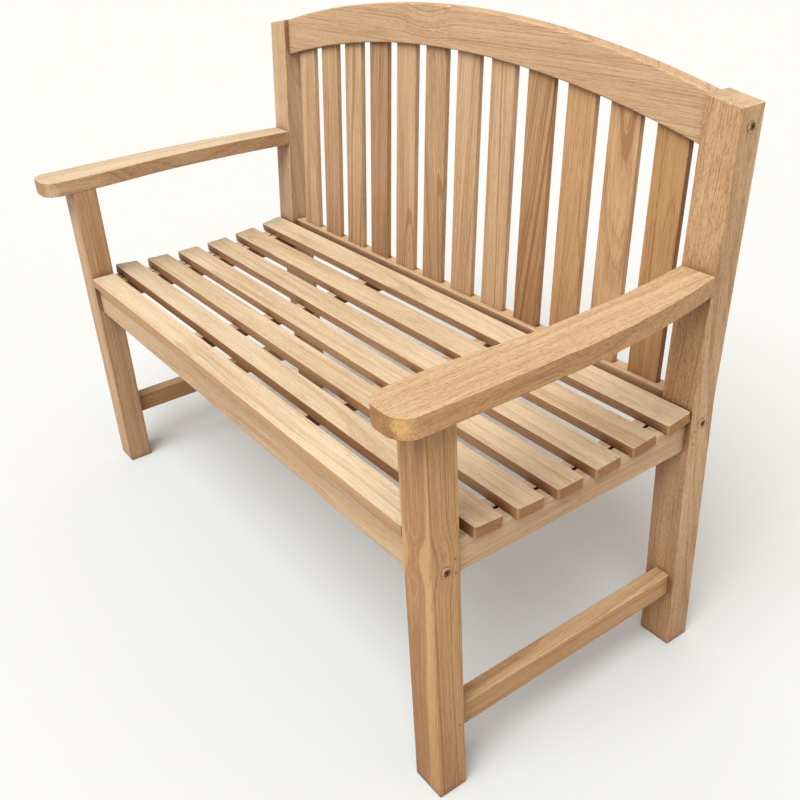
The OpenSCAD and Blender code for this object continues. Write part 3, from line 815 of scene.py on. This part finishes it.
def mesh_piece(name, bm):
    bmesh.ops.recalc_face_normals(bm, faces=bm.faces)
    mesh = bpy.data.meshes.new(name)
    bm.to_mesh(mesh)
    bm.free()
    for face in mesh.polygons:
        face.use_smooth = True
    mesh.set_sharp_from_angle(angle=math.radians(35))
    return add_object(name, mesh)


def bolt_axes():
    """Frames of the bolts' axes: X points out of the bench, its origin on a leg's outer face."""
    front_z = (FRONT_RAIL_LO.z + FRONT_RAIL_HI.z) / 2
    front_y = LEG_FRONT + FRONT_SETBACK + RAIL_T / 2
    rail_y = RAIL_SETBACK + RAIL_T / 2
    top_v = (POST_V + arch_v(LEG_INNER, ARCH_R - TOP_RAIL_H)) / 2
    points = [
        Vector((LEG_OUTER, front_y, front_z)),
        BACK_FRAME @ Vector((LEG_OUTER, rail_y, LOWER_RAIL_RISE - LOWER_RAIL_H / 2)),
        BACK_FRAME @ Vector((LEG_OUTER, rail_y, top_v)),
    ]
    frames = [Matrix.Translation(point) for point in points]
    return frames + [mirrored(one) for one in frames]


def make_bolts():
    """Six bolts with rounded heads and hexagon sockets: bright brass rims, and faces painted dark
    as painted shade of a recessed head.
    """
    head_r = 0.0075
    head_t = 0.0021
    shank_r = 0.003
    shank_l = 0.096
    socket_r = 0.0024
    lip_r = socket_r + 0.0003    # the round edge that the socket's walls start from
    face_r = head_r - 0.0022     # the flat face inside the rounded rim
    bedded = 0.0002              # how far the head is pressed into the wood
    eased = 0.0004               # how far the rim's corners are drawn in
    profile = [
        (-shank_l, 0), (-shank_l, shank_r), (-bedded, shank_r), (-bedded, head_r - eased),
        (bedded, head_r), (0.0008, head_r), (0.0013, head_r - eased),
        (0.0018, head_r - 3 * eased), (head_t, face_r), (head_t, lip_r),
    ]
    steps = 48
    places = bolt_axes()
    bm = bmesh.new()
    for place in places:
        lathe(bm, profile, place, steps)
        turns = [math.tau * k / steps for k in range(steps)]
        rim = [place @ Vector((head_t, lip_r * math.cos(a), lip_r * math.sin(a))) for a in turns]
        hexagon_socket(bm, rim, place, socket_r, head_t)
    bmesh.ops.remove_doubles(bm, verts=bm.verts, dist=1e-6)
    piece = mesh_piece("bolts", bm)
    brass = metal("aged_brass", (0.66, 0.40, 0.22), (0.30, 0.17, 0.08), 0.22)
    finish_piece(piece, "frame_bolts", brass)
    # Painted shade: the flat faces and sockets inside the rims are dark bronze, standing in for
    # the shade inside a recessed head
    shade_bronze = metal("bronze_painted_shade", (0.20, 0.12, 0.06), (0.10, 0.06, 0.03), 0.38)
    piece.data.materials.append(shade_bronze)
    middles = [place.translation for place in places]
    for face in piece.data.polygons:
        off_axis = min((face.center - middle).yz.length for middle in middles)
        if off_axis < face_r:
            face.material_index = 1


def hexagon_socket(bm, rim, place, radius, head_t):
    """A hexagonal hole in a bolt's head, joined to the round rim around it."""
    depth = 0.0035
    count = len(rim)
    outer = [bm.verts.new(point) for point in rim]
    mouth, floor = [], []
    for k in range(count):
        angle = math.tau * k / count
        side = (angle + math.pi / 6) % (math.pi / 3) - math.pi / 6
        reach = radius * math.cos(math.pi / 6) / math.cos(side)
        y, z = reach * math.cos(angle), reach * math.sin(angle)
        mouth.append(bm.verts.new(place @ Vector((head_t, y, z))))
        floor.append(bm.verts.new(place @ Vector((head_t - depth, y, z))))
    for k in range(count):
        j = (k + 1) % count
        bm.faces.new((outer[k], outer[j], mouth[j], mouth[k]))
        bm.faces.new((mouth[k], mouth[j], floor[j], floor[k]))
    bm.faces.new(floor)


def make_pins():
    """Twelve pins across the side joints, their ends a hair proud of the legs."""
    low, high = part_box("joint_pins")
    radius = 0.00165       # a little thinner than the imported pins
    proud = 0.0003
    bevel = 0.0002
    reach = 0.032
    stretcher_z = (STRETCHER_LO.z + STRETCHER_HI.z) / 2
    top_z = high.z - PIN_D / 2
    rail_zs = [top_z - PIN_SPREAD, top_z]
    bm = bmesh.new()
    profile = [(-reach, 0), (-reach, radius), (proud - bevel, radius),
               (proud, radius * 0.8), (proud, 0)]
    for y in (low.y + PIN_D / 2, high.y - PIN_D / 2):
        for z in [stretcher_z] + rail_zs:
            place = Matrix.Translation((LEG_OUTER, y, z))
            lathe(bm, profile, place, steps=20)
            lathe(bm, profile, mirrored(place), steps=20)
    piece = mesh_piece("pins", bm)
    finish_piece(piece, "joint_pins", teak("pins", tone=1.0, streaks=0.3))


def dress_hidden_fittings():
    """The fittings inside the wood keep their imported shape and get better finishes."""
    brass = metal("turned_brass", (0.60, 0.42, 0.20), (0.30, 0.20, 0.10), 0.25)
    steel = metal("stainless_steel", (0.60, 0.60, 0.58), (0.42, 0.42, 0.42), 0.28)
    dowel = teak("dowels", tone=0.7, figure=0.4)
    looks = {"cross_nuts": brass, "slat_screws": steel, "batten_screws": steel,
             "seat_dowels": dowel, "arm_dowels": dowel}
    for node, material in looks.items():
        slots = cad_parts[node].data.materials
        slots.clear()
        slots.append(material)


# ---- Floor, light and camera ----


def make_floor():
    """A plain pale floor, wide enough to reach the horizon in low views."""
    grey = 0.46
    half = 60.0
    mesh = bpy.data.meshes.new("floor")
    corners = [(-half, -half, 0), (half, -half, 0), (half, half, 0), (-half, half, 0)]
    mesh.from_pydata(corners, [], [(0, 1, 2, 3)])
    floor = add_object("floor", mesh)
    material = bpy.data.materials.new("pale_floor")
    material.use_nodes = True
    shader = material.node_tree.nodes["Principled BSDF"]
    shader.inputs["Base Color"].default_value = (grey, grey, grey, 1)
    shader.inputs["Roughness"].default_value = 0.9
    mesh.materials.append(material)


def make_lights():
    """A soft sun from above, in front and to the right, in a warm pale surround."""
    horizon = 0.7          # strength of the surround from the horizon down
    overhead_extra = 0.4   # and what straight overhead adds to it
    world = bpy.data.worlds.new("studio")
    bpy.context.scene.world = world
    world.use_nodes = True
    background = world.node_tree.nodes["Background"]
    background.inputs["Color"].default_value = (1.0, 0.89, 0.77, 1)
    direction = add_node(world.node_tree, "ShaderNodeTexCoord").outputs["Generated"]
    height = add_node(world.node_tree, "ShaderNodeSeparateXYZ", {0: direction}).outputs[2]
    overhead = math_node(world.node_tree, "MULTIPLY",
                         math_node(world.node_tree, "MAXIMUM", height), overhead_extra)
    strength = math_node(world.node_tree, "ADD", overhead, horizon)
    world.node_tree.links.new(strength, background.inputs["Strength"])
    data = bpy.data.lights.new("key", "SUN")
    data.angle = math.radians(45)
    data.energy = 4.8
    data.color = (0.90, 0.97, 1.0)
    key = add_object("key", data)
    towards = Vector((-0.26, 0.60, -1.0))
    key.rotation_euler = towards.to_track_quat("-Z", "Y").to_euler()


def make_camera():
    """The photograph's camera, from a fit to the bench's own straight edges."""
    at = Vector((1.26412, -0.74872, 1.12042))
    forward = Vector((-0.72616, 0.49082, -0.48145))
    roll = math.radians(-3.57)
    data = bpy.data.cameras.new("camera")
    data.sensor_width = 36.0
    data.lens = 42.8265
    data.shift_x = 0.0103
    data.shift_y = -0.0223
    data.clip_start = 0.01
    camera = add_object("camera", data)
    level = forward.to_track_quat("-Z", "Y").to_matrix().to_4x4()
    camera.matrix_world = Matrix.Translation(at) @ level @ Matrix.Rotation(roll, 4, "Z")
    bpy.context.scene.camera = camera


# ---- The bench ----

for side in SIDES:
    make_front_leg(side)
    make_rear_post(side)
    make_armrest(side)
    make_side_rail(side)
    make_end_batten(side)
    make_middle_batten(side)
    make_stretcher(side)
make_front_rail()
make_lower_back_rail()
make_top_rail()
for number in range(1, SEAT_SLAT_COUNT + 1):
    make_seat_slat(number)
for number in range(1, BACK_SLAT_COUNT + 1):
    make_back_slat(number)
make_bolts()
make_pins()
dress_hidden_fittings()
make_floor()
make_lights()
make_camera()
bpy.context.scene.view_settings.view_transform = "Standard"
